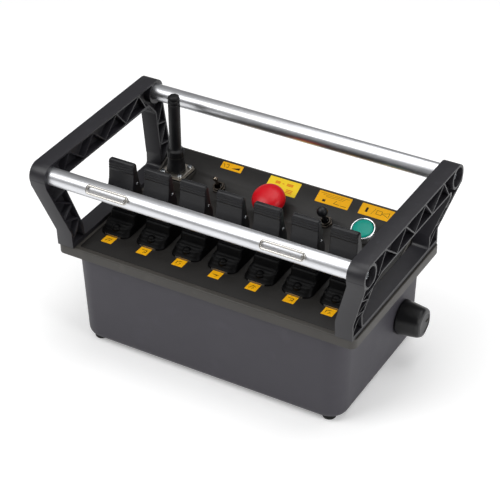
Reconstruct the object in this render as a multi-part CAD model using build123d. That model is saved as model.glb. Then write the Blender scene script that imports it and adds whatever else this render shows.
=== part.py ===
from build123d import *
import math
import os

os.makedirs("parts", exist_ok=True)

# Portable lever transmitter. Millimetres, +Z up, front towards -Y.
# Worked out about the tub, then moved so that the origin lies on the floor
# plane under the middle of the overall envelope.

# case
FOOT_H = 5.0
TUB_HALF_X = 167.0
TUB_FRONT = -112.0
TUB_REAR = 87.5
TUB_TOP = 116.5
TUB_DRAFT = 2.0
TUB_WALL = 3.2
TUB_R_FRONT = 22.0
TUB_R_REAR = 22.0
GASKET_T = 1.5
LID_HALF_X = 187.0
LID_FRONT = -120.0
EAR_REAR = 88.0
LID_TOP = 130.0
LID_PLATE = 5.0
LID_SKIRT = 3.0
LID_R_FRONT = 8.0
LID_R_EAR = 6.0
POST_SINK = 2.6
FASCIA_HALF_X = 161.0
FASCIA_FRONT = -112.9
FASCIA_INSET = 0.2
FASCIA_T = 1.8
FASCIA_GAP = 0.3
FASCIA_TOP = LID_TOP - FASCIA_INSET

# raised console at the back of the lid: the panel slopes up from here to the rear edge
CONSOLE_START = 41.0
CONSOLE_TILT = math.radians(24.5)
CONSOLE_HALF_X = 163.5
CONSOLE_REAR = 92.0
CONSOLE_R = 10.0

# side frames: base stands upright, then leans out to the tubes
FRAME_IN = 164.5
FRAME_OUT = 185.0
FRAME_LEAN = 19.0
LEAN_START = 150.0
LEAN_END = 210.0
BAND = 2.6
RIB = 1.6
BOSS_R = 14.5
TUBE_Z = 221.0
TUBE_Y = (-123.0, 89.0)
TUBE_R = 10.0
TUBE_IN_R = 8.0
TUBE_HALF = 193.0

# levers
LEVER_COUNT = 7
PITCH = 46.5
LEVER_Y = -48.0
PIVOT_Z = 116.0
AXLE_R = 3.0
PADDLE_W = 33.0
BODY_W = 29.0
HUB_W = 22.0

# antenna on its own level pedestal
ANT = (-135.8, 52.5)
PED_TOP = 143.0
PED_W = 34.0

# controls on the slope: x, then distance up the slope from its foot
TOG = (-80.5, 17.2)
ESTOP = (-8.0, 12.8)
SEL = (61.5, 14.5)
BTN = (109.3, 15.9)
KNOB_Y = 34.0
KNOB_Z = 56.0

ORIGIN_Y = (TUBE_Y[0] + TUBE_Y[1]) / 2


def save(name, *solids):
    flat = []
    for s in solids:
        flat.extend((Pos(0, -ORIGIN_Y, 0) * s).solids())
    shape = flat[0] if len(flat) == 1 else Compound(children=flat)
    shape.label = name
    export_step(shape, f"parts/{name}.step")


def plate(half, y0, y1, rf, rr, z0, z1, taper=0.0):
    s = Pos(0, (y0 + y1) / 2) * Rectangle(2 * half, y1 - y0)
    s = fillet(s.vertices().group_by(Axis.Y)[0], rf)
    s = fillet(s.vertices().group_by(Axis.Y)[-1], rr)
    return extrude(Pos(0, 0, z0) * s, z1 - z0, taper=taper)


def block(x0, x1, y0, y1, z0, z1):
    return Pos((x0 + x1) / 2, (y0 + y1) / 2, (z0 + z1) / 2) * Box(x1 - x0, y1 - y0, z1 - z0)


def rod(x, y, z0, z1, r):
    return Pos(x, y, (z0 + z1) / 2) * Cylinder(r, z1 - z0)


def rod_x(x0, x1, y, z, r):
    return Pos((x0 + x1) / 2, y, z) * Rot(0, 90, 0) * Cylinder(r, x1 - x0)


def rounded_block(wx, wy, r, z0, z1):
    return extrude(Pos(0, 0, z0) * RectangleRounded(wx, wy, r), z1 - z0)


def turned(x, y, profile):
    face = Plane.XZ * make_face(Polyline(*profile, close=True))
    return Pos(x, y, 0) * revolve(face, Axis.Z)


def hex_nut(x, y, z0, z1, across, bore):
    nut = extrude(Pos(x, y, z0) * RegularPolygon(across / math.sqrt(3), 6), z1 - z0)
    return nut - rod(x, y, z0 - 1, z1 + 1, bore)


def pan_screw(x, y, seat, head_r, head_h, shank_r, depth):
    head = rod(x, y, seat, seat + head_h, head_r)
    head = fillet(head.edges().group_by(Axis.Z)[-1], head_h * 0.45)
    slot_w = head_r * 0.32
    top = seat + head_h
    cross = block(x - head_r * 0.55, x + head_r * 0.55, y - slot_w / 2, y + slot_w / 2, top - 0.9, top + 1)
    cross += block(x - slot_w / 2, x + slot_w / 2, y - head_r * 0.55, y + head_r * 0.55, top - 0.9, top + 1)
    return head + rod(x, y, seat - depth, seat + 0.2, shank_r) - cross


lever_x = [(i - (LEVER_COUNT - 1) / 2) * PITCH for i in range(LEVER_COUNT)]

# ---- tub ----
grow = math.tan(math.radians(TUB_DRAFT))
tub = plate(TUB_HALF_X, TUB_FRONT, TUB_REAR, TUB_R_FRONT, TUB_R_REAR, FOOT_H, TUB_TOP, -TUB_DRAFT)
tub = fillet(tub.faces().sort_by(Axis.Z)[0].edges(), 9.0)
hollow = plate(
    TUB_HALF_X - TUB_WALL,
    TUB_FRONT + TUB_WALL,
    TUB_REAR - TUB_WALL,
    TUB_R_FRONT - TUB_WALL,
    TUB_R_REAR - TUB_WALL,
    FOOT_H + TUB_WALL,
    TUB_TOP + 4,
    -TUB_DRAFT,
)
hollow = fillet(hollow.faces().sort_by(Axis.Z)[0].edges(), 6.0)
tub -= hollow
post_xy = [(-155, -102.5), (0, -102.5), (155, -102.5), (-155, 12), (155, 12)]
for x, y in post_xy:
    tub += rod(x, y, FOOT_H + 2, TUB_TOP, 5.0)
for x, y in post_xy:
    tub -= rod(x, y, TUB_TOP - 16, TUB_TOP + 1, 1.65)
tub -= rod_x(150, 180, KNOB_Y, KNOB_Z, 4.6)
foot_xy = [(x, y) for x in (-149, 149) for y in (-99, 74)]
for x, y in foot_xy:
    tub -= rod(x, y, FOOT_H - 1, FOOT_H + 2.0, 5.05)
save("tub", tub)

feet = []
for x, y in foot_xy:
    foot = rod(x, y, 0, FOOT_H, 8.0)
    foot = fillet(foot.edges().group_by(Axis.Z)[0], 1.5)
    feet.append(foot + rod(x, y, FOOT_H - 0.5, FOOT_H + 1.9, 5.0))
save("feet", *feet)

# ---- gasket and lid ----
top_half = TUB_HALF_X + (TUB_TOP - FOOT_H) * grow
top_front = TUB_FRONT - (TUB_TOP - FOOT_H) * grow
top_rear = TUB_REAR + (TUB_TOP - FOOT_H) * grow


def ring(outset, inset, z0, z1):
    a = plate(top_half + outset, top_front - outset, top_rear + outset, TUB_R_FRONT, TUB_R_REAR, z0, z1)
    b = plate(top_half - inset, top_front + inset, top_rear - inset, TUB_R_FRONT - 4, TUB_R_REAR - 4, z0 - 1, z1 + 1)
    return a - b


lid_low = TUB_TOP + GASKET_T
save("gasket", ring(-0.8, 3.6, TUB_TOP, lid_low))



# everything below the panel surface, flat then sloping, pushed down by depth
def under(depth):
    knee = (CONSOLE_START + depth * math.tan(CONSOLE_TILT / 2), LID_TOP - depth)
    rise = (FAR_Y - CONSOLE_START) * math.tan(CONSOLE_TILT)
    far = (FAR_Y, LID_TOP + rise - depth / math.cos(CONSOLE_TILT))
    section = make_face(Polyline((-FAR_Y, 90), (-FAR_Y, LID_TOP - depth), knee, far, (FAR_Y, 90), close=True))
    return extrude(Plane.YZ * section, LID_HALF_X + 10, both=True)


def console_plan(inset, z0):
    return plate(CONSOLE_HALF_X - inset, -60, CONSOLE_REAR - inset, 1.0, CONSOLE_R - inset, z0, SKY_Z)


FAR_Y = 140.0
SKY_Z = 190.0
slope = Plane(
    origin=(0, CONSOLE_START + FASCIA_INSET * math.tan(CONSOLE_TILT / 2), FASCIA_TOP),
    x_dir=(1, 0, 0),
    z_dir=(0, -math.sin(CONSOLE_TILT), math.cos(CONSOLE_TILT)),
)


def on_slope(*solids):
    return [slope.location * s for s in solids]


lid = plate(LID_HALF_X, LID_FRONT, EAR_REAR, LID_R_FRONT, LID_R_EAR, lid_low, LID_TOP)
lid = chamfer(lid.faces().sort_by(Axis.Z)[-1].edges(), 0.9)
lid += console_plan(0, lid_low) & under(0)
pedestal = rounded_block(PED_W, PED_W, 4, lid_low, PED_TOP)
lid += Pos(*ANT) * pedestal
lid -= plate(
    LID_HALF_X - LID_SKIRT,
    LID_FRONT + LID_SKIRT,
    EAR_REAR - LID_SKIRT,
    LID_R_FRONT - LID_SKIRT,
    LID_R_EAR - LID_SKIRT,
    lid_low - 1,
    LID_TOP - LID_PLATE,
)
lid -= console_plan(LID_SKIRT, lid_low - 1) & under(LID_PLATE)
lid -= Pos(*ANT) * rounded_block(PED_W - 6, PED_W - 6, 2, lid_low - 1, PED_TOP - 4)
lid += ring(0.0, 4.5, lid_low, LID_TOP - LID_PLATE + 0.5)
recess = plate(
    FASCIA_HALF_X + FASCIA_GAP,
    FASCIA_FRONT - FASCIA_GAP,
    CONSOLE_REAR - 1.4,
    3.3,
    8.8,
    LID_TOP - 10,
    SKY_Z,
)
recess -= under(FASCIA_INSET + FASCIA_T)
recess -= Pos(*ANT) * rounded_block(PED_W, PED_W, 4, lid_low, SKY_Z)
lid -= recess
for x, y in post_xy:
    lid += rod(x, y, lid_low, LID_TOP - LID_PLATE + 0.5, 5.6)
for x, y in post_xy:
    lid -= rod(x, y, FASCIA_TOP - FASCIA_T - POST_SINK, LID_TOP, 4.0)
    lid -= rod(x, y, lid_low - 1, LID_TOP, 2.1)

fascia = plate(FASCIA_HALF_X, FASCIA_FRONT, CONSOLE_REAR - 1.7, 3.0, 8.5, LID_TOP - 10, SKY_Z)
fascia &= under(FASCIA_INSET)
fascia -= under(FASCIA_INSET + FASCIA_T)
fascia -= Pos(*ANT) * rounded_block(PED_W + 1, PED_W + 1, 4.5, lid_low, SKY_Z)
for x in lever_x:
    cut = block(x - 15.5, x + 15.5, LEVER_Y - 13, LEVER_Y + 13, 115, 135)
    lid -= cut
    fascia -= cut
lid -= rod(*ANT, 115, PED_TOP + 5, 7.0)
for (x, s), r in ((TOG, 6.2), (ESTOP, 11.2), (SEL, 6.2), (BTN, 11.2)):
    bore = slope.location * rod(x, s, -12, 6, r)
    lid -= bore
    fascia -= bore
for sx in (-1, 1):
    for y in (-100, -40, 20, 66):
        lid -= rod(sx * 177.5, y, 115, 135, 1.7)
save("fascia", fascia)
save("lid", lid)
seat = FASCIA_TOP - FASCIA_T - POST_SINK
save("lid_screws", *[pan_screw(x, y, seat, 3.5, 2.3, 1.6, 18) for x, y in post_xy])

# ---- side frames ----


def thin_bar(a, b, w):
    dx = b[0] - a[0]
    dy = b[1] - a[1]
    mid = Pos((a[0] + b[0]) / 2, (a[1] + b[1]) / 2)
    return mid * Rot(0, 0, math.degrees(math.atan2(dy, dx))) * Rectangle(math.hypot(dx, dy) + w, w)


def zigzag(a0, a1, b0, b1, n):
    lines = []
    for i in range(n):
        t0 = i / n
        t1 = (i + 1) / n
        low, high = (a0, a1), (b0, b1)
        if i % 2:
            low, high = high, low
        p = tuple(low[0][k] + (low[1][k] - low[0][k]) * t0 for k in (0, 1))
        q = tuple(high[0][k] + (high[1][k] - high[0][k]) * t1 for k in (0, 1))
        lines.append(thin_bar(p, q, RIB))
    return lines


yf, yr = TUBE_Y
outline = [
    (-121, LID_TOP),
    (-122, 150),
    (yf - BOSS_R + 0.15, TUBE_Z - 3),
    (yf, TUBE_Z + BOSS_R),
    (yr, TUBE_Z + BOSS_R),
    (yr + BOSS_R - 0.15, TUBE_Z - 3),
    (87, 150),
    (87, LID_TOP),
]
outer = make_face(Polyline(*outline, close=True))
outer += Pos(yf, TUBE_Z) * Circle(BOSS_R)
outer += Pos(yr, TUBE_Z) * Circle(BOSS_R)
window_pts = [(-98, 135.5), (-99, 153), (-106, 198), (-97, 209), (72, 209), (79.5, 198), (64.5, 152), (64, 135.5)]
window = make_face(Polyline(*window_pts, close=True))
window = fillet(window.vertices(), 4.0)
loop = outer - window
inset = offset(outer, amount=-BAND)
keep = offset(window, amount=BAND)
pocket = inset - keep
pocket -= Pos(0, LID_TOP - 20) * Rectangle(400, 50)
for y in TUBE_Y:
    pocket -= Pos(y, TUBE_Z) * Circle(BOSS_R - 0.2)
ribs = zigzag((-104, 211.5), (66, 211.5), (-112, 233), (76, 233), 8)
ribs += zigzag((-120, 140), (-134, 206), (-100.5, 150), (-107, 196), 5)
ribs += zigzag((66.5, 140), (81, 196), (86, 148), (99, 204), 5)
for bar in ribs:
    pocket -= bar


def lean_slab(base_in, base_out):
    top = FRAME_LEAN
    pts = [
        (base_in, 120),
        (base_out, 120),
        (base_out, LEAN_START),
        (base_out + top, LEAN_END),
        (base_out + top, 250),
        (base_in + top, 250),
        (base_in + top, LEAN_END),
        (base_in, LEAN_START),
    ]
    return extrude(Plane.XZ * make_face(Polyline(*pts, close=True)), 170, both=True)


web_in = FRAME_IN + 8.5
web_out = FRAME_OUT - 8.5
wide = extrude(Plane.YZ.offset(140) * loop, 90)
frame = wide & lean_slab(FRAME_IN, FRAME_OUT)
pit = extrude(Plane.YZ.offset(140) * pocket, 90)
frame -= pit & lean_slab(web_out, FRAME_OUT + 6)
frame -= pit & lean_slab(FRAME_IN - 6, web_in)
top_in = FRAME_IN + FRAME_LEAN
top_out = FRAME_OUT + FRAME_LEAN
for y in TUBE_Y:
    frame -= rod_x(top_out - 7.5, top_out + 5, y, TUBE_Z, 11.3)
    frame -= rod_x(top_in - 12, TUBE_HALF + 0.5, y, TUBE_Z, TUBE_R + 0.06)
    frame -= rod_x(top_in, top_out, y, TUBE_Z, 2.65)
screw_y = (-100, -40, 20, 66)
for y in screw_y:
    frame -= rod(177.5, y, LID_TOP - 1, LID_TOP + 4.2, 1.55)
save("right_frame", frame)
save("left_frame", mirror(frame, about=Plane.YZ))

screws = []
for sx in (-1, 1):
    for y in screw_y:
        s = pan_screw(0, 0, 0, 3.0, 2.0, 1.5, 8.8)
        screws.append(Pos(sx * 177.5, y, LID_TOP - LID_PLATE) * Rot(180, 0, 0) * s)
save("frame_screws", *screws)

# ---- hand tubes ----
for name, y in (("front_tube", yf), ("rear_tube", yr)):
    tube = rod_x(-TUBE_HALF, TUBE_HALF, y, TUBE_Z, TUBE_R) - rod_x(-200, 200, y, TUBE_Z, TUBE_IN_R)
    save(name, tube)
plugs = []
bolts = []
for y in TUBE_Y:
    for sx in (-1, 1):
        x0, x1 = sorted((sx * (TUBE_HALF - 18), sx * TUBE_HALF))
        plug = rod_x(x0, x1, y, TUBE_Z, TUBE_IN_R - 0.02) - rod_x(x0 - 1, x1 + 1, y, TUBE_Z, 2.55)
        plugs.append(plug)
        s = pan_screw(0, 0, 0, 5.2, 3.4, 2.5, 16)
        bolts.append(Pos(sx * (top_out - 7.5), y, TUBE_Z) * Rot(0, sx * 90, 0) * s)
save("tube_plugs", *plugs)
save("tube_screws", *bolts)

# ---- strap bails on the front tube ----
BAIL_L = 50.0
BAIL_W = 8.4
WIRE_R = 1.2
BAIL_OFF = TUBE_R + WIRE_R + 0.45
bail_ang = math.radians(30)
bail_n = (0, -math.cos(bail_ang), math.sin(bail_ang))
loop_pts = [(0, BAIL_W / 2, 0), (-BAIL_L, BAIL_W / 2, 0), (-BAIL_L, -BAIL_W / 2, 0), (0, -BAIL_W / 2, 0)]
brackets = []
for name, x in (("left_bail", -81.0), ("right_bail", 133.0)):
    seat_pl = Plane(
        origin=(x, yf + BAIL_OFF * bail_n[1], TUBE_Z + BAIL_OFF * bail_n[2]),
        x_dir=(1, 0, 0),
        z_dir=bail_n,
    )
    path = FilletPolyline(*loop_pts, radius=2.6, close=True)
    path = path.wires()[0] if path.wires() else path
    start = path @ 0.02
    wire = sweep(Plane(origin=start, z_dir=path % 0.02) * Circle(WIRE_R), path=path)
    save(name, seat_pl.location * wire)
    ear = Pos(0, 0, -0.9) * Box(5.0, 2.8, 6.0)
    ear = fillet(ear.edges().filter_by(Axis.Y).group_by(Axis.Z)[-1], 1.8)
    ear -= Rot(90, 0, 0) * Cylinder(WIRE_R + 0.06, 12)
    ear = seat_pl.location * ear
    brackets.append(ear - rod_x(x - 10, x + 10, yf, TUBE_Z, TUBE_R))
save("bail_brackets", *brackets)

# ---- levers ----
side = [
    (-6.5, 214.0),
    (-5.0, 215.5),
    (-2.0, 215.5),
    (0.0, 213.5),
    (4.5, 190),
    (9.0, 177),
    (9.0, 171),
    (7.0, 160),
    (6.2, 146),
    (6.0, 122),
    (-6.0, 122),
    (-6.2, 146),
    (-7.0, 160),
    (-13.5, 171),
    (-14.0, 177),
    (-8.8, 191),
    (-7.0, 210),
]


def lever():
    prof = make_face(Polyline(*side, close=True))
    body = extrude(Plane.YZ * prof, PADDLE_W / 2, both=True)
    gap = PADDLE_W / 2 - BODY_W / 2
    for s in (-1, 1):
        xa, xb = sorted((s * BODY_W / 2, s * (BODY_W / 2 + gap + 1)))
        body -= block(xa, xb, -30, 30, 100, 163)
        xa, xb = sorted((s * HUB_W / 2, s * 20))
        body -= block(xa, xb, -30, 30, 100, 127)
        body -= Pos(s * (PADDLE_W / 2 + 0.6), -4.5, 219.5) * Rot(0, s * 35, 0) * Box(12, 40, 7)
    body += rod_x(-HUB_W / 2, HUB_W / 2, 0, PIVOT_Z, 8.5)
    for z in (204.5, 207.5, 210.5):
        body += rod_x(-PADDLE_W / 2 + 2.5, PADDLE_W / 2 - 2.5, -7.0, z, 0.55)
    body += rod_x(PADDLE_W / 2 - 1, PADDLE_W / 2 + 0.9, -1.0, 189.0, 1.7)
    body -= rod_x(-20, 20, 0, PIVOT_Z, AXLE_R + 0.05)
    return body


one_lever = lever()
for i, x in enumerate(lever_x):
    save(f"lever_{i + 1}", Pos(x, LEVER_Y, 0) * one_lever)


def boot():
    z = FASCIA_TOP
    b = rounded_block(37, 62, 9, z, z + 2.0)
    b += rounded_block(35.6, 57, 9, z + 2.0, z + 6.0)
    b += rounded_block(35.0, 50, 8, z + 6.0, z + 11.0)
    b += rounded_block(34.4, 42, 7, z + 11.0, z + 16.5)
    b = chamfer(b.edges().filter_by(GeomType.LINE).filter_by(Axis.X).group_by(Axis.Z)[-1], 1.0)
    b -= rounded_block(31, 34.5, 5, z - 1, z + 20)
    b += Pos(0, -26.0, z + 6.4) * Sphere(2.2)
    return b


one_boot = boot()
save("lever_boots", *[Pos(x, LEVER_Y, 0) * one_boot for x in lever_x])

mod_top = LID_TOP - LID_PLATE
module = block(-16.5, 16.5, -22, 22, 92, mod_top)
module -= block(-HUB_W / 2 - 0.4, HUB_W / 2 + 0.4, -19, 19, 100, mod_top + 1)
module -= rod_x(-20, 20, 0, PIVOT_Z, AXLE_R)
module += block(-12, 12, -14, 14, 84, 92)
save("lever_modules", *[Pos(x, LEVER_Y, 0) * module for x in lever_x])
axle = rod_x(-16.5, 16.5, 0, PIVOT_Z, AXLE_R)
save("lever_axles", *[Pos(x, LEVER_Y, 0) * axle for x in lever_x])

# ---- labels ----
LABEL_T = 0.25


def label(x0, x1, y0, y1, z):
    return block(x0, x1, y0, y1, z, z + LABEL_T)


save("front_labels", *[label(x - 6.8, x + 6.8, -93.2, -80.2, FASCIA_TOP) for x in lever_x])
rear = [
    (-93.0, -65.3, 43.6, 53.2),
    (-28.9, 11.8, 32.8, 53.3),
    (35.5, 77.7, 37.4, 53.3),
    (90.4, 131.3, 38.1, 53.4),
]
save("rear_labels", *on_slope(*[label(*spot, 0) for spot in rear]))

# ---- antenna ----
ax, ay = ANT
z0 = PED_TOP
pad = Pos(ax, ay) * rounded_block(33, 33, 3, z0, z0 + 1.2) - rod(ax, ay, z0 - 1, z0 + 3, 6.5)
low = Pos(ax, ay) * rounded_block(32.4, 32.4, 3, z0 + 1.2, z0 + 2.6)
high = Pos(ax, ay) * rounded_block(31, 31, 3, z0 + 3.2, z0 + 4.8)
mid = Pos(ax, ay) * rounded_block(29.6, 29.6, 3, z0 + 2.6, z0 + 3.2)
flange = low + mid + high - rod(ax, ay, z0 - 1, z0 + 6, 6.0)
scr_xy = [(ax + sx * 11.3, ay + sy * 11.3) for sx in (-1, 1) for sy in (-1, 1)]
for x, y in scr_xy:
    pad -= rod(x, y, z0 - 1, z0 + 6, 1.7)
    flange -= rod(x, y, z0 - 1, z0 + 6, 1.7)
save("antenna_gasket", pad)
save("antenna_flange", flange)
save("antenna_screws", *[pan_screw(x, y, z0 + 4.8, 3.0, 2.0, 1.5, 4.7) for x, y in scr_xy])
conn = rod(ax, ay, z0 - 14, z0 + 4.8, 5.95) + rod(ax, ay, z0 - 22, z0 - 14, 2.5)
save("antenna_socket", conn)
zb = z0 + 4.8
whip = turned(
    ax,
    ay,
    [
        (0, zb),
        (11.2, zb),
        (11.2, zb + 3.5),
        (9.6, zb + 13),
        (9.6, zb + 19),
        (10.2, zb + 20),
        (10.2, zb + 27),
        (9.3, zb + 28),
        (7.2, zb + 29.5),
        (7.0, zb + 88),
        (6.3, zb + 88.6),
        (6.3, zb + 89.6),
        (7.0, zb + 90.2),
        (7.0, zb + 93),
        (6.3, zb + 93.6),
        (6.3, zb + 94.4),
        (6.9, zb + 95),
        (6.6, zb + 98),
        (5.0, zb + 99.6),
        (0, zb + 99.8),
    ],
)
save("antenna", whip)

# ---- two toggle switches ----


z0 = 0.0


def toggle(x, y, length, r_stem, r_tip):
    bush = rod(x, y, z0 - 9, z0 + 5.0, 5.9) - rod(x, y, z0 - 7.0, z0 + 6, 4.7)
    nut = hex_nut(x, y, z0, z0 + 2.4, 14, 6.0)
    body = block(x - 7, x + 7, y - 10, y + 10, z0 - 27, z0 - 9)
    body += rod(x - 3, y, z0 - 31, z0 - 27, 1.0) + rod(x + 3, y, z0 - 31, z0 - 27, 1.0)
    bat = rod(0, 0, 0, length - r_tip, r_stem) + Pos(0, 0, length - r_tip) * Sphere(r_tip)
    bat += Sphere(3.0)
    bat -= Rot(90, 0, 0) * Cylinder(0.85, 10)
    pin = Pos(x, y, z0 - 1) * Rot(90, 0, 0) * Cylinder(0.8, 10.4)
    bush -= Pos(x, y, z0 - 1) * Rot(90, 0, 0) * Cylinder(0.82, 14)
    return bush, nut, body, Pos(x, y, z0 - 1) * bat, pin


b1, n1, d1, t1, p1 = toggle(*TOG, 22.0, 1.7, 3.0)
b2, n2, d2, t2, p2 = toggle(*SEL, 30.0, 2.4, 6.5)
save("toggle_bushings", *on_slope(b1, b2))
save("toggle_nuts", *on_slope(n1, n2))
save("toggle_bodies", *on_slope(d1, d2))
save("toggle_pins", *on_slope(p1, p2))
save("toggle_bat", *on_slope(t1))
save("selector_bat", *on_slope(t2))

# ---- emergency stop ----
ex, ey = ESTOP
collar = turned(ex, ey, [(8.2, z0), (12.6, z0), (12.6, z0 + 2.4), (11.6, z0 + 5.4), (10.8, z0 + 6), (8.2, z0 + 6)])
save("estop_collar", *on_slope(collar))
head = turned(
    ex,
    ey,
    [
        (0, z0 + 5.6),
        (7.9, z0 + 5.6),
        (7.9, z0 + 12.2),
        (17.5, z0 + 12.2),
        (19.4, z0 + 13.2),
        (19.8, z0 + 15.5),
        (19.2, z0 + 20.0),
        (16.8, z0 + 24.1),
        (12.5, z0 + 26.9),
        (6.5, z0 + 28.6),
        (0, z0 + 29.1),
    ],
)
save("estop_head", *on_slope(head))
save("estop_stem", *on_slope(rod(ex, ey, z0 - 22, z0 + 5.6, 4.0)))
thread = rod(ex, ey, z0 - 20, z0, 11.0) - rod(ex, ey, z0 - 30, z0 + 1, 4.3)
save("estop_barrel", *on_slope(thread))
save("estop_nut", *on_slope(hex_nut(ex, ey, z0 - 9, z0 - 4.8, 28, 11.05)))
save("estop_contacts", *on_slope(block(ex - 12, ex + 12, ey - 12, ey + 12, z0 - 49, z0 - 28.5)))

# ---- push button ----
bx, by = BTN
bezel = turned(
    bx,
    by,
    [(12.4, z0), (15.3, z0), (15.3, z0 + 5.0), (14.7, z0 + 9.0), (13.9, z0 + 9.8), (12.4, z0 + 9.8)],
)
save("button_bezel", *on_slope(bezel))
cap = turned(bx, by, [(0, z0 + 4), (12.1, z0 + 4), (12.1, z0 + 9.0), (11.2, z0 + 10.4), (7, z0 + 11.2), (0, z0 + 11.5)])
cap += rod(bx, by, z0 - 21, z0 + 4.2, 3.6)
save("button_cap", *on_slope(cap))
barrel = rod(bx, by, z0 - 20, z0, 11.0) - rod(bx, by, z0 - 30, z0 + 1, 3.9)
save("button_barrel", *on_slope(barrel))
save("button_nut", *on_slope(hex_nut(bx, by, z0 - 9, z0 - 4.8, 28, 11.05)))
save("button_contacts", *on_slope(block(bx - 12, bx + 12, by - 12, by + 12, z0 - 48, z0 - 27)))

# ---- side knob ----
wall_x = TUB_HALF_X + (KNOB_Z - FOOT_H) * grow
kx = wall_x + 1.6
knob = Plane.XZ * make_face(
    Polyline(
        (0, 0),
        (20.6, 0),
        (21.0, 1.2),
        (18.2, 24.5),
        (16.6, 27.3),
        (12.5, 28.3),
        (12.0, 27.6),
        (0, 27.6),
        close=True,
    )
)
knob = revolve(knob, Axis.Z)
knob -= Pos(0, 0, -1) * Cylinder(3.05, 26)
knob -= Pos(9, 0, 28.0) * Box(9, 1.6, 2.4)
save("side_knob", Pos(kx, KNOB_Y, KNOB_Z) * Rot(0, 90, 0) * Rot(0, 0, 180) * knob)
save("knob_shaft", rod_x(150, kx + 11.5, KNOB_Y, KNOB_Z, 3.0))
pot = rod_x(139, 150, KNOB_Y, KNOB_Z, 12.5) + rod_x(150, kx - 1.3, KNOB_Y, KNOB_Z, 4.5)
pot -= rod_x(149.9, 190, KNOB_Y, KNOB_Z, 3.06)
save("knob_pot", pot)

# ---- inside ----
board = block(-134, 128, -84, 80, 40, 41.6)
bp = [(x, y) for x in (-128, 122) for y in (-78, 74)]
posts = []
for x, y in bp:
    board -= rod(x, y, 38, 43, 1.7)
    posts.append(rod(x, y, FOOT_H + TUB_WALL, 40, 3.5) - rod(x, y, 30, 41, 1.55))
save("circuit_board", board)
save("board_posts", *posts)
save("board_screws", *[pan_screw(x, y, 41.6, 2.8, 1.8, 1.5, 9) for x, y in bp])
chips = [(-80, -20, 18, 18), (-40, 20, 12, 24), (10, -30, 24, 24), (60, 30, 14, 14), (90, -40, 10, 20)]
save("board_chips", *[block(x, x + w, y, y + d, 41.6, 44.2) for x, y, w, d in chips])
battery = block(-62, 62, -34, 34, FOOT_H + TUB_WALL, 32)
battery = fillet(battery.edges().filter_by(Axis.Z), 5)
save("battery", battery)
save("radio_module", block(-118, -78, -66, -30, 41.6, 52))
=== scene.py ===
import math
import bpy
import bmesh
from mathutils import Matrix, Vector


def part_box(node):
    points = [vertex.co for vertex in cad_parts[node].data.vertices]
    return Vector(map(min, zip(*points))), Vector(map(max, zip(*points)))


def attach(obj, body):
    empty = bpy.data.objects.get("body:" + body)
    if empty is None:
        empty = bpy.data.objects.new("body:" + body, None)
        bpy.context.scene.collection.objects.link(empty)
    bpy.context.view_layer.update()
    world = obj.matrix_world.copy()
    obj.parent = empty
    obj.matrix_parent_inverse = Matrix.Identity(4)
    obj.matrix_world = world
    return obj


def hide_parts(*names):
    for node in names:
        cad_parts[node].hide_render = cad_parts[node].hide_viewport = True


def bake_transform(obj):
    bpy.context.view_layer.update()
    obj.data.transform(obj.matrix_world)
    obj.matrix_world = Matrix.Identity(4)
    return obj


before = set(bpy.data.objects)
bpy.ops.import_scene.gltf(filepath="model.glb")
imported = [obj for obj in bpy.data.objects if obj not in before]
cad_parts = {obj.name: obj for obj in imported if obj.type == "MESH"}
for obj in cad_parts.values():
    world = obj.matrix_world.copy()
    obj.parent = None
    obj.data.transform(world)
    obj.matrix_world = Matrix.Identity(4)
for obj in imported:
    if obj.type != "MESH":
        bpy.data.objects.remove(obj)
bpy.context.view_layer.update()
print("frame loaded")

mm = 0.001
midY = 17.0  # the tubes' middle line, behind the lever row's own zero
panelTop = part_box("lever_boots")[0].z / mm  # the gaiters stand on the level part of the panel
leverRow = [(i - 3) * 46.5 for i in range(7)]
leverY = -48.0
tubeY = (-123.0, 89.0)
tubeZ = 221.0
consoleTilt = math.radians(24.5)
consoleFoot = 41.04  # where the panel starts to slope up to its rear edge
slope = Matrix.Translation((0, consoleFoot, panelTop)) @ Matrix.Rotation(consoleTilt, 4, "X")


def at(point):
    x, y, z = point
    return Vector((x * mm, (y + midY) * mm, z * mm))


# mesh tools

def softCorners(points, radius, steps=4):
    # rounds every inner corner of an open run of points, in any number of dimensions
    points = [Vector(p) for p in points]
    out = [points[0]]
    for a, b, c in zip(points, points[1:], points[2:]):
        toA, toC = a - b, c - b
        reach = min(radius, toA.length * 0.48, toC.length * 0.48)
        p = b + toA.normalized() * reach
        q = b + toC.normalized() * reach
        for i in range(steps + 1):
            t = i / steps
            out.append(p * (1 - t) ** 2 + b * (2 * t * (1 - t)) + q * t * t)
    out.append(points[-1])
    return out


def rectLoop(halfX, yFront, yRear, rFront, rRear, z, steps=8):
    # counter-clockwise outline of a plate with its own front and rear corner radii
    corners = (
        (halfX - rFront, yFront + rFront, rFront, -90),
        (halfX - rRear, yRear - rRear, rRear, 0),
        (-halfX + rRear, yRear - rRear, rRear, 90),
        (-halfX + rFront, yFront + rFront, rFront, 180),
    )
    loop = []
    for cx, cy, r, start in corners:
        for i in range(steps + 1):
            a = math.radians(start + 90 * i / steps)
            loop.append((cx + r * math.cos(a), cy + r * math.sin(a), z))
    return loop


def circleLoop(radius, z, sides=64):
    if radius < 1e-4:
        return [(0, 0, z)]
    turn = 2 * math.pi / sides
    return [(radius * math.cos(i * turn), radius * math.sin(i * turn), z) for i in range(sides)]


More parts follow.
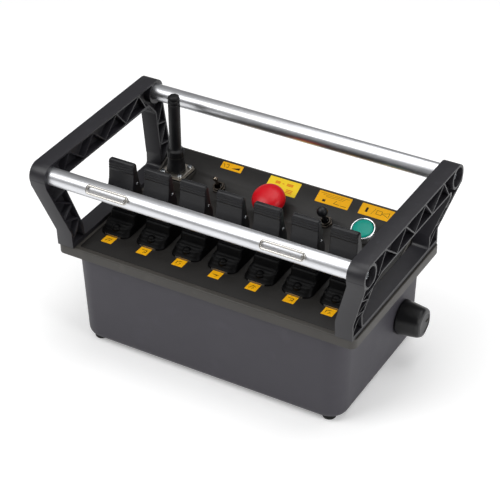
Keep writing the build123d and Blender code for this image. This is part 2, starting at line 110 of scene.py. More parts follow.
def addLoft(bm, loops, place=None, closed=False):
    # skins a run of outlines, each point put in place and turned from mm to metres
    place = place or Matrix()
    rows = [[bm.verts.new(at(place @ Vector(p))) for p in loop] for loop in loops]
    pairs = list(zip(rows, rows[1:]))
    if closed:
        pairs.append((rows[-1], rows[0]))
    for low, high in pairs:
        count = max(len(low), len(high))
        for i in range(count):
            j = (i + 1) % count
            ring = [low[i % len(low)], low[j % len(low)], high[j % len(high)], high[i % len(high)]]
            bm.faces.new([v for k, v in enumerate(ring) if v not in ring[:k]])
    if not closed:
        for row in (rows[0], rows[-1]):
            if len(row) > 2:
                bm.faces.new(row)


def addTurned(bm, profile, place=None, sides=64, closed=False):
    addLoft(bm, [circleLoop(r, z, sides) for r, z in profile], place, closed)


def addPrism(bm, outline, low, high, place=None):
    addLoft(bm, [[(x, y, low) for x, y in outline], [(x, y, high) for x, y in outline]], place)


def finishMesh(bm, name, material, body, nodes=(), sharp=38, doubles=True):
    if doubles:
        bmesh.ops.remove_doubles(bm, verts=bm.verts, dist=1e-6)
    bmesh.ops.recalc_face_normals(bm, faces=bm.faces)
    for face in bm.faces:
        face.smooth = True
    for edge in bm.edges:
        if len(edge.link_faces) == 2 and edge.calc_face_angle(0) > math.radians(sharp):
            edge.smooth = False
    mesh = bpy.data.meshes.new(name)
    bm.to_mesh(mesh)
    bm.free()
    piece = bpy.data.objects.new(name, mesh)
    bpy.context.scene.collection.objects.link(piece)
    mesh.materials.append(material)
    if body:
        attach(piece, body)
    if nodes:
        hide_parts(*nodes)
    return piece


def softened(node, name, width, material, body, steps=2):
    # a moulding with the CAD solid's own shape, its sharp edges run over by a small radius
    bm = bmesh.new()
    bm.from_mesh(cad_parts[node].data)
    bmesh.ops.remove_doubles(bm, verts=bm.verts, dist=3e-6)
    bmesh.ops.dissolve_limit(bm, angle_limit=math.radians(0.6), verts=bm.verts, edges=bm.edges)
    hard = [e for e in bm.edges if len(e.link_faces) == 2 and e.calc_face_angle(0) > math.radians(30)]
    bmesh.ops.bevel(bm, geom=hard, offset=width * mm, segments=steps, profile=0.6, affect="EDGES")
    return finishMesh(bm, name, material, body, (node,), 35, doubles=False)


# material tools

def rgb(code):
    # sRGB hex to the linear colour that a shader takes
    parts = [int(code[i:i + 2], 16) / 255 for i in (1, 3, 5)]
    return tuple([c / 12.92 if c <= 0.04045 else ((c + 0.055) / 1.055) ** 2.4 for c in parts] + [1.0])


def add(tree, kind, inputs=None, **settings):
    node = tree.nodes.new(kind)
    for key, value in settings.items():
        setattr(node, key, value)
    for key, value in (inputs or {}).items():
        if isinstance(value, bpy.types.NodeSocket):
            tree.links.new(value, node.inputs[key])
        else:
            node.inputs[key].default_value = value
    return node


def perMm(size):
    return 1000 / size  # texture scale whose cells are this many millimetres


def blank(name):
    material = bpy.data.materials.new(name)
    material.use_nodes = True
    tree = material.node_tree
    return material, tree, tree.nodes["Principled BSDF"]


scuffShare = 0.3  # scuffs are this much finer than the drift in tone


def moulded(name, look):
    # plastic or rubber straight from a mould: two close tones, a fine grain, and a gloss that drifts
    material, tree, shader = blank(name)
    where = add(tree, "ShaderNodeTexCoord").outputs["Object"]
    cloud = add(tree, "ShaderNodeTexNoise", {"Vector": where, "Scale": perMm(look["cloudMm"]), "Detail": 4.0})
    grain = add(tree, "ShaderNodeTexNoise", {"Vector": where, "Scale": perMm(look["grainMm"]), "Detail": 2.0})
    scuff = add(tree, "ShaderNodeTexNoise", {"Vector": where, "Scale": perMm(look["cloudMm"] * scuffShare),
                                             "Detail": 8.0})
    worn = add(tree, "ShaderNodeMapRange", {"Value": scuff.outputs["Fac"], "From Min": 0.58, "From Max": 0.8})
    tones = {"Factor": cloud.outputs["Fac"], "A": rgb(look["dark"]), "B": rgb(look["light"])}
    tone = add(tree, "ShaderNodeMix", tones, data_type="RGBA")
    dull = add(tree, "ShaderNodeMath", {0: worn.outputs["Result"], 1: look["scuff"]}, operation="MULTIPLY")
    wear = {"Factor": dull.outputs[0], "A": tone.outputs["Result"], "B": rgb(look["rub"])}
    rubbed = add(tree, "ShaderNodeMix", wear, data_type="RGBA")
    gloss = add(tree, "ShaderNodeMapRange", {"Value": scuff.outputs["Fac"], "To Min": look["rough"][0],
                                             "To Max": look["rough"][1]})
    bump = add(tree, "ShaderNodeBump", {"Height": grain.outputs["Fac"], "Strength": look["bump"],
                                        "Distance": look["grainMm"] * 0.12 * mm})
    shader.inputs["IOR"].default_value = look["ior"]
    shader.inputs["Specular IOR Level"].default_value = look["specular"]
    tree.links.new(rubbed.outputs["Result"], shader.inputs["Base Color"])
    tree.links.new(gloss.outputs["Result"], shader.inputs["Roughness"])
    tree.links.new(bump.outputs["Normal"], shader.inputs["Normal"])
    return material


def metal(name, look):
    # bare or plated metal: fine lines along one axis, faint blotches, and a gloss that follows both
    material, tree, shader = blank(name)
    where = add(tree, "ShaderNodeTexCoord").outputs["Object"]
    stretch = add(tree, "ShaderNodeMapping", {"Vector": where, "Scale": look["stretch"]})
    lines = add(tree, "ShaderNodeTexNoise", {"Vector": stretch.outputs[0], "Scale": perMm(look["lineMm"]),
                                             "Detail": 3.0})
    blotch = add(tree, "ShaderNodeTexNoise", {"Vector": where, "Scale": perMm(look["blotchMm"]),
                                              "Detail": 5.0})
    tones = {"Factor": blotch.outputs["Fac"], "A": rgb(look["dark"]), "B": rgb(look["light"])}
    tone = add(tree, "ShaderNodeMix", tones, data_type="RGBA")
    both = add(tree, "ShaderNodeMath", {0: lines.outputs["Fac"], 1: blotch.outputs["Fac"], 2: 0.5},
               operation="MULTIPLY_ADD")
    gloss = add(tree, "ShaderNodeMapRange", {"Value": both.outputs[0], "From Min": 0.45, "From Max": 1.1,
                                             "To Min": look["rough"][0], "To Max": look["rough"][1]})
    bump = add(tree, "ShaderNodeBump", {"Height": lines.outputs["Fac"], "Strength": look["bump"],
                                        "Distance": look["lineMm"] * 0.08 * mm})
    shader.inputs["Metallic"].default_value = 1.0
    tree.links.new(tone.outputs["Result"], shader.inputs["Base Color"])
    tree.links.new(gloss.outputs["Result"], shader.inputs["Roughness"])
    tree.links.new(bump.outputs["Normal"], shader.inputs["Normal"])
    return material


# grainMm is the drawn size, made coarser than real mould grain so that it shows
# spark-eroded ABS: a soft charcoal with a very fine satin grain
tubAbs = moulded("sparkErodedAbs", {
    "dark": "#35333a", "light": "#3b3940", "rub": "#56545c", "cloudMm": 90, "grainMm": 1.1,
    "scuff": 0.25, "rough": (0.5, 0.64), "bump": 0.35, "ior": 1.53, "specular": 0.4})
# ABS lid, warmer and smoother than the tub, slightly rubbed along the strip round the panel
lidAbs = moulded("satinAbs", {
    "dark": "#302d29", "light": "#3a3733", "rub": "#56534d", "cloudMm": 60, "grainMm": 0.9,
    "scuff": 0.35, "rough": (0.42, 0.55), "bump": 0.25, "ior": 1.53, "specular": 0.45})
# glass-filled nylon side frames: near black with a low sheen and faint flow marks
frameNylon = moulded("glassFilledNylon", {
    "dark": "#19181c", "light": "#222126", "rub": "#3c3b42", "cloudMm": 34, "grainMm": 0.8,
    "scuff": 0.3, "rough": (0.34, 0.48), "bump": 0.3, "ior": 1.54, "specular": 0.4})
# moulded nylon paddles, black with a blue cast and a little gloss
leverNylon = moulded("mouldedNylon", {
    "dark": "#08080b", "light": "#0e0e13", "rub": "#26262c", "cloudMm": 22, "grainMm": 0.7,
    "scuff": 0.3, "rough": (0.36, 0.5), "bump": 0.25, "ior": 1.53, "specular": 0.35})
# EPDM gaiters: dull black rubber with a faint bloom
gaiterRubber = moulded("mouldedEpdm", {
    "dark": "#020203", "light": "#060607", "rub": "#161618", "cloudMm": 14, "grainMm": 0.6,
    "scuff": 0.4, "rough": (0.4, 0.58), "bump": 0.3, "ior": 1.5, "specular": 0.14})
footRubber = moulded("softNitrileRubber", {
    "dark": "#0c0c0c", "light": "#141416", "rub": "#2a2a2a", "cloudMm": 12, "grainMm": 0.8,
    "scuff": 0.5, "rough": (0.65, 0.8), "bump": 0.4, "ior": 1.5, "specular": 0.3})
# polyester film over the panel, warm black with a velvet print finish
panelFilm = moulded("velvetPolyesterFilm", {
    "dark": "#141210", "light": "#1b1917", "rub": "#2c2a27", "cloudMm": 50, "grainMm": 0.8,
    "scuff": 0.25, "rough": (0.42, 0.55), "bump": 0.2, "ior": 1.57, "specular": 0.3})
knobAbs = moulded("semiGlossAbs", {
    "dark": "#08080a", "light": "#0e0e10", "rub": "#2a2a2e", "cloudMm": 18, "grainMm": 0.7,
    "scuff": 0.35, "rough": (0.3, 0.45), "bump": 0.2, "ior": 1.53, "specular": 0.4})
antennaRubber = moulded("mouldedTpu", {
    "dark": "#08080a", "light": "#0e0e11", "rub": "#242428", "cloudMm": 16, "grainMm": 0.6,
    "scuff": 0.3, "rough": (0.42, 0.56), "bump": 0.3, "ior": 1.5, "specular": 0.3})
stopRed = moulded("pigmentedAbs", {
    "dark": "#c00012", "light": "#ce0218", "rub": "#d8323f", "cloudMm": 18, "grainMm": 0.6,
    "scuff": 0.2, "rough": (0.3, 0.4), "bump": 0.08, "ior": 1.53, "specular": 0.3})
lensGreen = moulded("tintedPolycarbonate", {
    "dark": "#008878", "light": "#009484", "rub": "#2aa89a", "cloudMm": 12, "grainMm": 0.5,
    "scuff": 0.2, "rough": (0.28, 0.38), "bump": 0.06, "ior": 1.58, "specular": 0.22})
# printed vinyl labels: flat yellow ink with a faint orange-peel
labelVinyl = moulded("printedVinyl", {
    "dark": "#eaa800", "light": "#f2b204", "rub": "#f4c040", "cloudMm": 12, "grainMm": 0.5,
    "scuff": 0.3, "rough": (0.45, 0.6), "bump": 0.12, "ior": 1.5, "specular": 0.2})
stopVinyl = moulded("printedVinylBright", {
    "dark": "#f0cc20", "light": "#f6d630", "rub": "#f8e070", "cloudMm": 12, "grainMm": 0.5,
    "scuff": 0.3, "rough": (0.45, 0.6), "bump": 0.12, "ior": 1.5, "specular": 0.2})
inkBlack = moulded("screenInkBlack", {
    "dark": "#1c1406", "light": "#241a0c", "rub": "#5a4518", "cloudMm": 3, "grainMm": 0.4,
    "scuff": 0.5, "rough": (0.5, 0.65), "bump": 0.1, "ior": 1.5, "specular": 0.2})
inkOrange = moulded("screenInkOrange", {
    "dark": "#d8640c", "light": "#e07012", "rub": "#e8a050", "cloudMm": 3, "grainMm": 0.4,
    "scuff": 0.5, "rough": (0.5, 0.65), "bump": 0.1, "ior": 1.5, "specular": 0.2})
collarGrey = moulded("greyPolyamide", {
    "dark": "#2c2c2e", "light": "#363638", "rub": "#505054", "cloudMm": 14, "grainMm": 0.6,
    "scuff": 0.3, "rough": (0.4, 0.55), "bump": 0.2, "ior": 1.53, "specular": 0.35})

# drawn aluminium tube: die lines run along it, finer in reality than the lineMm drawn here
tubeAluminium = metal("drawnAluminium", {
    "dark": "#cfd0d4", "light": "#e6e7ea", "lineMm": 0.5, "stretch": (0.004, 1.0, 1.0), "blotchMm": 40,
    "rough": (0.3, 0.44), "bump": 0.3})
bezelChrome = metal("satinChrome", {
    "dark": "#dcdde0", "light": "#efeff1", "lineMm": 0.6, "stretch": (1.0, 1.0, 0.05), "blotchMm": 15,
    "rough": (0.16, 0.3), "bump": 0.1})
flangeZinc = metal("zincPlate", {
    "dark": "#bdb6ac", "light": "#d6cfc4", "lineMm": 0.8, "stretch": (1.0, 0.1, 1.0), "blotchMm": 8,
    "rough": (0.24, 0.42), "bump": 0.25})
screwSteel = metal("nickelledSteel", {
    "dark": "#a9adb1", "light": "#c9cdd1", "lineMm": 0.7, "stretch": (1.0, 1.0, 1.0), "blotchMm": 5,
    "rough": (0.18, 0.34), "bump": 0.15})
wireSteel = metal("bentStainlessWire", {
    "dark": "#b4b0aa", "light": "#cfccc6", "lineMm": 0.6, "stretch": (0.05, 1.0, 1.0), "blotchMm": 9,
    "rough": (0.16, 0.3), "bump": 0.15})
darkNickel = metal("blackNickelPlate", {
    "dark": "#3a3632", "light": "#4c4640", "lineMm": 0.6, "stretch": (1.0, 1.0, 0.1), "blotchMm": 6,
    "rough": (0.24, 0.4), "bump": 0.1})
# chrome toggle bat: its brown tint is a painted reflection of the brownish lid and panel round it
toggleChromePaintedReflection = metal("chromeWithPaintedBrownReflection", {
    "dark": "#6e645a", "light": "#8a7f73", "lineMm": 0.6, "stretch": (1.0, 1.0, 0.1), "blotchMm": 6,
    "rough": (0.16, 0.3), "bump": 0.05})
print("materials made")


# tub and feet

tubShape = {"halfX": 167.0, "front": -112.0, "rear": 87.5, "low": 5.0, "high": 116.5, "draft": 2.0,
            "wall": 3.2, "rFront": 22.0, "rRear": 22.0, "footRadius": 9.0}


def tubLoop(grow, z):
    s = tubShape
    return rectLoop(s["halfX"] + grow, s["front"] - grow, s["rear"] + grow,
                    max(s["rFront"] + grow, 2.0), max(s["rRear"] + grow, 2.0), z, 12)


def buildTub():
    s = tubShape
    spread = (s["high"] - s["low"]) * math.tan(math.radians(s["draft"]))
    wall = s["wall"]
    outside = softCorners([(-60, s["low"]), (0, s["low"]), (spread, s["high"])], s["footRadius"], 8)
    rim = softCorners([(spread, s["high"] - 1), (spread, s["high"]), (spread - wall, s["high"]),
                       (spread - wall, s["high"] - 1)], 0.5, 2)
    floorZ = s["low"] + wall
    inside = softCorners([(spread - wall, s["high"] - 1.2), (-wall, floorZ), (-60, floorZ)], 6, 4)
    bm = bmesh.new()
    addLoft(bm, [tubLoop(g, z) for g, z in outside[:-1] + rim + inside])
    finishMesh(bm, "tubShell", tubAbs, "housing", ("tub",), 50)


def buildFeet():
    bm = bmesh.new()
    shape = softCorners([(0, 0), (7.2, 0), (8.0, 1.6), (8.0, 5.0), (4.9, 5.2), (4.9, 6.8), (0, 6.8)], 0.9, 3)
    for x in (-149, 149):
        for y in (-99, 74):
            addTurned(bm, shape, Matrix.Translation((x, y, 0)), 40)
            for turn in range(3):  # tread rings
                r = 2.0 + turn * 1.7
                addTurned(bm, [(r, 0.02), (r + 0.5, 0.02), (r + 0.5, 0.3), (r, 0.3)],
                          Matrix.Translation((x, y, 0)), 24, True)
    finishMesh(bm, "rubberFeet", footRubber, "housing", ("feet",))


buildTub()
buildFeet()
print("tub and feet built")


# lid, seal and panel

softened("lid", "lidFrame", 0.55, lidAbs, "housing", 3)
softened("fascia", "panelSheet", 0.3, panelFilm, "housing", 2)
softened("gasket", "lidSeal", 0.3, gaiterRubber, "housing", 2)
print("lid and panel built")


# side frames

for side in ("left", "right"):
    softened(side + "_frame", side + "FrameMoulding", 0.3, frameNylon, "housing", 2)
print("side frames built")


# hand tubes, plugs and bails

turnToX = Matrix.Rotation(math.radians(90), 4, "Y")  # stands a turned piece's axis along X
tubeShape = {"half": 193.0, "outer": 10.0, "inner": 8.0, "endRadius": 0.5}


def buildTubes():
    s = tubeShape
    half = s["half"]
    outline = softCorners([(s["outer"], 0), (s["outer"], half), (s["inner"], half), (s["inner"], 0),
                           (s["inner"], -half), (s["outer"], -half), (s["outer"], -0.1)], s["endRadius"], 3)
    for node, name, y in (("front_tube", "frontTube", tubeY[0]), ("rear_tube", "rearTube", tubeY[1])):
        bm = bmesh.new()
        place = Matrix.Translation((0, y, tubeZ)) @ turnToX
        addTurned(bm, outline[:-1], place, 72, True)
        finishMesh(bm, name, tubeAluminium, "housing", (node,))


buildTubes()
print("tubes built")


# levers and their gaiters

leverShape = {"pinZ": 189.0, "paddle": 16.5, "body": 14.5, "hub": 11.0, "corner": 1.5,
              "ridges": (204.6, 207.6, 210.6), "ridgeOut": 0.5}


def leverSections():
    # height, front, back and half width up the lever, before the ridges go in
    s = leverShape
    rows = [
        (108.0, -5.4, 5.4, s["hub"]), (110.0, -8.0, 8.0, s["hub"]), (122.0, -7.2, 7.2, s["hub"]),
        (126.6, -6.1, 6.1, s["hub"]), (127.4, -6.0, 6.0, s["body"]), (146.0, -6.2, 6.2, s["body"]),
        (156.0, -6.6, 6.6, s["body"]), (160.5, -7.2, 7.1, s["body"]), (162.4, -7.9, 7.4, s["body"]),
        (163.4, -8.9, 7.7, s["paddle"]), (167.0, -11.4, 8.4, s["paddle"]), (170.5, -13.2, 8.9, s["paddle"]),
        (173.0, -13.9, 9.0, s["paddle"]), (177.0, -14.0, 9.0, s["paddle"]), (179.0, -13.5, 8.6, s["paddle"]),
        (186.0, -10.6, 5.8, s["paddle"]), (190.0, -9.2, 4.5, s["paddle"]), (193.0, -8.6, 3.8, s["paddle"]),
        (202.0, -7.6, 2.0, s["paddle"]),
    ]
    for z in s["ridges"]:
        y = -7.4 + (z - 204) * 0.06
        back = 1.6 - (z - 204) * 0.14
        for dz, out in ((-0.75, 0), (-0.35, 0.8), (0.1, 1.0), (0.45, 0.7), (0.8, 0)):
            rows.append((z + dz, y - out * s["ridgeOut"], back, s["paddle"] - 0.02))
    rows += [(212.8, -6.9, 0.3, s["paddle"]), (214.0, -6.5, -0.3, s["paddle"] - 0.35),
             (214.9, -5.8, -1.1, s["paddle"] - 1.1), (215.4, -5.0, -1.9, s["paddle"] - 2.2)]
    return rows


def buildLever(index):
    s = leverShape
    x = leverRow[index]
    place = Matrix.Translation((x, leverY, 0))
    bm = bmesh.new()
    loops = []
    for z, front, back, half in leverSections():
        r = min(s["corner"], (back - front) * 0.35)
        loops.append(rectLoop(half, front, back, r, r, z, 4))
    addLoft(bm, loops, place)
    name = "lever_" + str(index + 1)
    finishMesh(bm, "leverPaddle" + str(index + 1), leverNylon, name, (name,), 60)
    bm = bmesh.new()  # polished pin through the paddle's side
    pin = softCorners([(0, 0), (1.6, 0), (1.6, 1.2), (0, 1.5)], 0.5, 3)
    side = place @ Matrix.Translation((s["paddle"] - 0.4, -1.0, s["pinZ"])) @ turnToX
    addTurned(bm, pin, side, 24)
    finishMesh(bm, "leverPin" + str(index + 1), screwSteel, name, ())


gaiterShape = {"top": 149.6, "flexFrom": 139.0, "flexTo": 149.0, "nubY": -22.6, "nubUp": 6.8}


def buildGaiter(index):
    s = gaiterShape
    x = leverRow[index]
    z = panelTop
    # half width, half depth, corner and height: a low stepped cup, then a plain sleeve up the lever
    steps = [
        (18.5, 31.0, 9.0, z), (18.5, 31.0, 9.0, z + 1.6), (17.8, 28.4, 9.0, z + 2.4),
        (17.6, 27.4, 9.0, z + 4.6), (17.3, 24.6, 8.0, z + 5.4), (17.1, 23.8, 8.0, z + 7.6),
        (16.8, 17.4, 6.0, z + 8.6), (16.5, 12.4, 4.0, z + 9.4), (16.3, 10.4, 3.0, z + 11.0),
        (16.1, 9.4, 2.6, z + 18.0), (15.8, 8.8, 2.4, s["top"] - 1.2), (15.4, 7.8, 2.2, s["top"]),
        (14.3, 6.0, 1.8, s["top"] - 0.4),
    ]
    smooth = softCorners(steps, 0.9, 3)
    bm = bmesh.new()
    place = Matrix.Translation((x, leverY, 0))
    loops = [rectLoop(hx, -hy, hy, r, r, zz, 6) for hx, hy, r, zz in smooth]
    inner = [(13.8, 5.6, 1.5, s["top"] - 1.6), (14.4, 8.0, 2.0, z + 10.0), (15.5, 17.0, 5.0, z)]
    loops += [rectLoop(hx, -hy, hy, r, r, zz, 6) for hx, hy, r, zz in inner]
    addLoft(bm, loops, place, True)
    nub = softCorners([(0, -2), (5.4, -2), (5.4, 0.8), (4.2, 1.6), (3.9, 3.2), (2.6, 4.2), (0, 4.6)], 0.6, 3)
    addTurned(bm, nub, place @ Matrix.Translation((0, s["nubY"], z + s["nubUp"])), 36)
    piece = finishMesh(bm, "gaiter" + str(index + 1), gaiterRubber, None, ("lever_boots",), 70)
    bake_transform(piece)


clipShape = {"half": 9.5, "tip": 10.3, "front": -79.4, "tipY": -79.0, "rear": -78.2, "height": 1.5}


def buildGaiterTrims():
    # bright clip along the front foot of each gaiter
    s = clipShape
    half, tip = s["half"], s["tip"]
    bm = bmesh.new()
    for x in leverRow:
        outline = [(x - half, s["front"]), (x + half, s["front"]), (x + tip, s["tipY"]), (x + half, s["rear"]),
                   (x - half, s["rear"]), (x - tip, s["tipY"])]
        addPrism(bm, outline, panelTop - 0.02, panelTop + s["height"])
    finishMesh(bm, "gaiterClips", flangeZinc, "housing", ())


for index in range(7):
    buildLever(index)
    buildGaiter(index)
buildGaiterTrims()
print("levers and gaiters built")


# antenna

antennaAt = (-135.8, 52.5)


def buildAntenna():
    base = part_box("antenna")[0].z / mm
    place = Matrix.Translation((antennaAt[0], antennaAt[1], base))
    profile = softCorners([
        (0, 0), (11.1, 0), (11.1, 3.6), (9.7, 13), (9.6, 18.8), (10.15, 19.6), (10.15, 27.2), (9.2, 28.2),
        (7.3, 29.4), (7.0, 33), (7.0, 88), (6.3, 88.4), (6.3, 89.8), (7.0, 90.2), (7.0, 93.2), (6.3, 93.6),
        (6.3, 94.6), (6.9, 95.0), (6.6, 98), (4.6, 99.5), (0, 99.75)], 0.7, 3)
    bm = bmesh.new()
    addTurned(bm, profile, place, 56)
    for turn in range(18):  # grip ribs round the lower collar
        angle = turn * math.pi / 9
        rib = place @ Matrix.Rotation(angle, 4, "Z") @ Matrix.Translation((10.15, 0, 0))
        addLoft(bm, [rectLoop(0.35, -0.55, 0.55, 0.25, 0.25, h, 2) for h in (20.4, 26.6)], rib)
    finishMesh(bm, "antennaWhip", antennaRubber, "housing", ("antenna",))


buildAntenna()
softened("antenna_flange", "antennaFlange", 0.4, flangeZinc, "housing", 2)
softened("antenna_gasket", "antennaSeal", 0.3, gaiterRubber, "housing", 2)
print("antenna built")


# emergency stop, push button and toggles

stopAt = (-8.0, 12.8)  # across, then up the slope from its foot
buttonAt = (109.3, 15.9)


def turnedPiece(name, centre, profile, soften, material, body, nodes, closed=False, sides=72):
    bm = bmesh.new()
    run = softCorners(profile, soften, 4)
    addTurned(bm, run, slope @ Matrix.Translation((centre[0], centre[1], 0)), sides, closed)
    return finishMesh(bm, name, material, body, nodes)


turnedPiece("stopCollar", stopAt, [
    (8.3, 3), (8.3, 0), (12.6, 0), (12.6, 2.4), (11.6, 5.4), (10.8, 6.0), (8.3, 6.0), (8.3, 3.2)], 0.5,
    collarGrey, "housing", ("estop_collar",), True)
turnedPiece("stopMushroom", stopAt, [
    (0, 5.6), (7.8, 5.6), (7.8, 12.2), (17.5, 12.2), (19.4, 13.3), (19.8, 15.8), (19.2, 20.1), (17.0, 23.8),
    (13.0, 26.5), (7.4, 28.4), (0, 29.1)], 1.8, stopRed, "stop_button", ("estop_head",))
turnedPiece("buttonRing", buttonAt, [
    (12.5, 4), (12.5, 0), (15.3, 0), (15.3, 5.6), (14.5, 9.3), (13.4, 9.8), (12.5, 9.3), (12.5, 4.2)], 0.8,
    bezelChrome, "housing", ("button_bezel",), True)
turnedPiece("buttonLens", buttonAt, [
    (0, -21), (3.5, -21), (3.5, 4), (12.1, 4), (12.1, 9.2), (11.0, 10.5), (7, 11.2), (0, 11.45)], 0.9,
    lensGreen, "push_button", ("button_cap",))


def buildToggle(name, centre, body, node, stem, tip, reach, material):
    place = slope @ Matrix.Translation((centre[0], centre[1], -1))
    run = [(0, -3.0), (2.6, -1.6), (2.6, 1.6), (stem * 0.9, 3.6), (stem, 6), (stem, reach - tip * 1.9)]
    for i in range(9):
        a = math.radians(-62 + 152 * i / 8)
        run.append((tip * math.cos(a) if i < 8 else 0, reach - tip + tip * math.sin(a)))
    bm = bmesh.new()
    addTurned(bm, softCorners(run, 0.6, 2), place, 40)
    finishMesh(bm, name, material, body, (node,))


toggleAt = (-80.5, 17.2)
selectorAt = (61.5, 14.5)
buildToggle("toggleLever", toggleAt, "toggle", "toggle_bat", 1.7, 3.0, 22.0, toggleChromePaintedReflection)
buildToggle("selectorLever", selectorAt, "selector", "selector_bat", 2.4, 6.5, 30.0, leverNylon)
softened("toggle_bushings", "toggleBushings", 0.2, darkNickel, "housing", 2)
softened("toggle_nuts", "toggleNuts", 0.25, darkNickel, "housing", 2)
print("controls built")


# side knob

knobShape = {"y": 34.0, "z": 56.0, "sides": 96, "lobes": 6, "lobeDepth": 0.7}


def buildKnob():
    s = knobShape
    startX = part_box("side_knob")[0].x / mm
    run = softCorners([(0, 0), (20.6, 0), (21.0, 1.2), (18.2, 24.5), (16.6, 27.3), (12.5, 28.3), (11.6, 27.5),
                       (0, 27.5)], 1.2, 4)
    loops = []
    for r, z in run:
        loop = []
        if r < 1e-4:
            loops.append([(0, 0, z)])
            continue
        for i in range(s["sides"]):
            a = 2 * math.pi * i / s["sides"]
            dent = s["lobeDepth"] * (0.5 - 0.5 * math.cos(s["lobes"] * a)) * min(1, z / 6) * min(1, r / 14)
            loop.append(((r - dent) * math.cos(a), (r - dent) * math.sin(a), z))
        loops.append(loop)
    place = Matrix.Translation((startX, s["y"], s["z"])) @ turnToX
    bm = bmesh.new()
    addLoft(bm, loops, place)
    finishMesh(bm, "sideKnob", knobAbs, "volume_knob", ("side_knob",))
    bm = bmesh.new()  # raised pointer on the end
    mark = [rectLoop(0.7, 4.0, 12.0, 0.5, 0.5, h, 3) for h in (27.4, 28.0)]
    addLoft(bm, mark, place)
    finishMesh(bm, "knobPointer", inkBlack, "volume_knob", ())


buildKnob()
print("knob built")


# labels

labelThick = 0.25
inkLow = labelThick - 0.02
inkHigh = labelThick + 0.03
rearPlates = {  # across, then up the slope
    "rampLabel": (-93.0, -65.3, 43.6, 53.2), "stopLabel": (-28.9, 11.8, 32.8, 53.3),
    "noticeLabel": (35.5, 77.7, 37.4, 53.3), "hornLabel": (90.4, 131.3, 38.1, 53.4)}


def onPlate(name, points):
    # shares of a label's width and height, turned to mm on the panel
    x0, x1, y0, y1 = rearPlates[name]
    return [(x0 + (x1 - x0) * u, y0 + (y1 - y0) * v) for u, v in points]


def addStroke(bm, points, width, place):
    for (ax, ay), (bx, by) in zip(points, points[1:]):
        along = Vector((bx - ax, by - ay))
        side = Vector((-along.y, along.x)).normalized() * width / 2
        ends = along.normalized() * width / 2
        a, b = Vector((ax, ay)) - ends, Vector((bx, by)) + ends
        quad = [a - side, b - side, b + side, a + side]
        addPrism(bm, [(p.x, p.y) for p in quad], inkLow, inkHigh, place)


def addPatch(bm, name, points):
    addPrism(bm, onPlate(name, points), inkLow, inkHigh, slope)


def addLine(bm, name, points, width):
    addStroke(bm, onPlate(name, points), width, slope)


def buildLabels():
    softened("front_labels", "frontLabels", 0.08, labelVinyl, "housing", 1)
    for name, (x0, x1, y0, y1) in rearPlates.items():
        bm = bmesh.new()
        middle = slope @ Matrix.Translation(((x0 + x1) / 2, 0, 0))
        half = (x1 - x0) / 2
        run = softCorners([(-0.05, 0), (-0.05, labelThick), (-0.3, labelThick)], 0.1, 2)
        addLoft(bm, [rectLoop(half + g, y0 - g, y1 + g, 0.8, 0.8, h, 3) for g, h in run], middle)
        material = stopVinyl if name == "stopLabel" else labelVinyl
        finishMesh(bm, name, material, "housing", ("rear_labels",))


def buildMarks():
    level = Matrix.Translation((0, 0, panelTop))
    bm = bmesh.new()
    for i, x in enumerate(leverRow):  # small boom and arrow signs, one for each lever
        y = -86.7
        kind = i % 4
        if kind == 0:
            addStroke(bm, [(x - 3.4, y - 2.6), (x - 0.6, y + 2.4), (x + 3.2, y + 1.0)], 0.8, level)
        elif kind == 1:
            addStroke(bm, [(x - 3.2, y + 2.2), (x + 3.2, y + 2.2), (x + 3.2, y - 2.4)], 0.8, level)
        elif kind == 2:
            addStroke(bm, [(x - 3.4, y - 2.4), (x - 3.4, y + 1.8), (x + 1.4, y + 2.8)], 0.8, level)
        else:
            addStroke(bm, [(x - 3.2, y), (x + 3.2, y)], 0.8, level)
        addStroke(bm, [(x + 0.2, y - 3.2), (x + 2.2, y - 1.2), (x + 0.2, y - 0.2)], 0.6, level)
    finishMesh(bm, "leverSigns", inkBlack, "housing", ())
    bm = bmesh.new()
    addPatch(bm, "rampLabel", [(0.5, 0.3), (0.88, 0.3), (0.88, 0.66)])
    addLine(bm, "rampLabel", [(0.1, 0.7), (0.18, 0.3)], 0.6)
    addLine(bm, "rampLabel", [(0.24, 0.7), (0.34, 0.7), (0.34, 0.3), (0.26, 0.3)], 0.6)
    # horn sign with a small lamp beside it
    addPatch(bm, "hornLabel", [(0.17, 0.3), (0.24, 0.3), (0.24, 0.7), (0.17, 0.7)])
    addLine(bm, "hornLabel", [(0.37, 0.25), (0.44, 0.75)], 0.35)
    addLine(bm, "hornLabel", [(0.5, 0.35), (0.5, 0.68), (0.66, 0.68), (0.66, 0.35), (0.5, 0.35)], 0.45)
    addLine(bm, "hornLabel", [(0.66, 0.5), (0.88, 0.7), (0.88, 0.3), (0.66, 0.52)], 0.45)
    # notice: three ruled lines over a small cone and a block
    for row, (a, b) in enumerate(((0.08, 0.92), (0.16, 0.82), (0.26, 0.78))):
        y = 0.84 - row * 0.12
        addLine(bm, "noticeLabel", [(a, y), (b, y)], 0.3)
    addLine(bm, "noticeLabel", [(0.6, 0.46), (0.55, 0.2), (0.72, 0.2)], 0.45)
    addPatch(bm, "noticeLabel", [(0.2, 0.14), (0.29, 0.14), (0.29, 0.34), (0.2, 0.34)])
    addLine(bm, "noticeLabel", [(0.76, 0.18), (0.92, 0.18)], 0.5)
    finishMesh(bm, "panelSigns", inkBlack, "housing", ())
    bm = bmesh.new()
    for u0, u1, v0, v1 in ((0.24, 0.37, 0.6, 0.78), (0.6, 0.78, 0.6, 0.78), (0.66, 0.84, 0.14, 0.42)):
        for step in range(3):
            v = v0 + (v1 - v0) * (step + 0.5) / 3
            addLine(bm, "stopLabel", [(u0, v), (u1, v)], 0.9)
    addLine(bm, "stopLabel", [(0.46, 0.68), (0.5, 0.68)], 0.9)
    finishMesh(bm, "stopSigns", inkOrange, "housing", ())


buildLabels()
buildMarks()
print("labels built")


# finishes on the CAD solids that stay

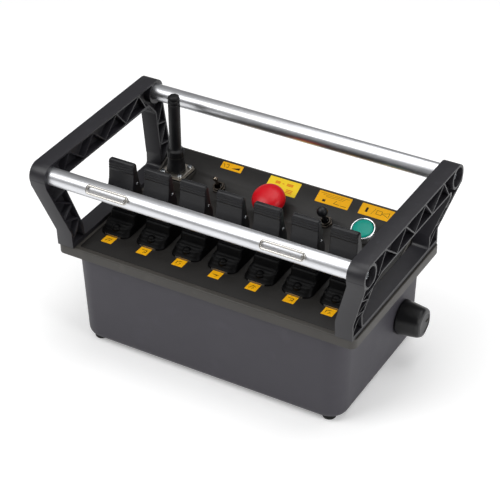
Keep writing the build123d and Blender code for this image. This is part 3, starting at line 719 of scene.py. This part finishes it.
finishes = (
    (screwSteel, ("antenna_screws", "frame_screws", "tube_screws", "lid_screws", "board_screws",
        "toggle_pins", "lever_axles", "knob_shaft")),
    (wireSteel, ("bail_brackets", "left_bail", "right_bail")),
    (collarGrey, ("tube_plugs", "estop_stem", "estop_barrel", "estop_nut", "estop_contacts",
        "button_barrel", "button_nut", "button_contacts")),
    (flangeZinc, ("antenna_socket", "knob_pot", "radio_module")),
    (knobAbs, ("toggle_bodies", "lever_modules", "battery", "board_chips")),
    (tubAbs, ("board_posts",)),
    (lensGreen, ("circuit_board",)),
)
for material, names in finishes:
    for node in names:
        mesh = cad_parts[node].data
        if not mesh.materials:
            mesh.materials.append(material)
        for index in range(len(mesh.materials)):
            mesh.materials[index] = material


# floor, light and camera

studio = {"floorSize": 6.0, "floorZ": -0.0002, "floor": "#f4f4f4", "floorGlow": 0.25, "sky": 0.22,
          "lights": (
              ("keyBox", (-0.9, -1.1, 1.7), 1.3, 22), ("topBox", (0.15, 0.35, 1.9), 1.6, 20),
              ("rightBox", (1.7, -0.3, 0.9), 1.0, 12))}


def buildStudio():
    s = studio
    half = s["floorSize"]
    bm = bmesh.new()
    corners = ((-1, -1), (1, -1), (1, 1), (-1, 1))
    bm.faces.new([bm.verts.new((x * half, y * half, s["floorZ"])) for x, y in corners])
    material, tree, shader = blank("paperSweep")
    shader.inputs["Base Color"].default_value = rgb(s["floor"])
    shader.inputs["Roughness"].default_value = 0.9
    shader.inputs["Emission Color"].default_value = (1, 1, 1, 1)
    shader.inputs["Emission Strength"].default_value = s["floorGlow"]
    floor = finishMesh(bm, "floor", material, None)
    for name, place, size, power in s["lights"]:
        data = bpy.data.lights.new(name, "AREA")
        data.shape = "SQUARE"
        data.size = size
        data.energy = power
        lamp = bpy.data.objects.new(name, data)
        lamp.location = place
        aim = Vector((0, 0, 0.12)) - Vector(place)
        lamp.rotation_euler = aim.to_track_quat("-Z", "Y").to_euler()
        bpy.context.scene.collection.objects.link(lamp)
    world = bpy.data.worlds.new("studioSky")
    world.use_nodes = True
    tree = world.node_tree
    back = tree.nodes["Background"]
    path = add(tree, "ShaderNodeLightPath")
    level = add(tree, "ShaderNodeMapRange", {"Value": path.outputs["Is Camera Ray"], "To Min": s["sky"],
                                             "To Max": 1.0})
    back.inputs["Color"].default_value = (1, 1, 1, 1)
    tree.links.new(level.outputs["Result"], back.inputs["Strength"])
    bpy.context.scene.world = world
    bpy.context.scene.view_settings.view_transform = "Standard"


view = {"lens": 126.8, "place": (0.8186, -1.40275, 1.2479),
        "columns": ((0.8677, 0.4969, -0.0092), (-0.2769, 0.4986, 0.8214), (0.4128, -0.7102, 0.5702))}


def buildCamera():
    data = bpy.data.cameras.new("camera")
    data.lens = view["lens"]
    data.sensor_width = 36.0
    camera = bpy.data.objects.new("camera", data)
    turn = Matrix(view["columns"]).transposed().to_quaternion()
    camera.rotation_mode = "QUATERNION"
    camera.rotation_quaternion = turn.normalized()
    camera.location = view["place"]
    bpy.context.scene.collection.objects.link(camera)
    bpy.context.scene.camera = camera


buildStudio()
buildCamera()
print("studio and camera set")
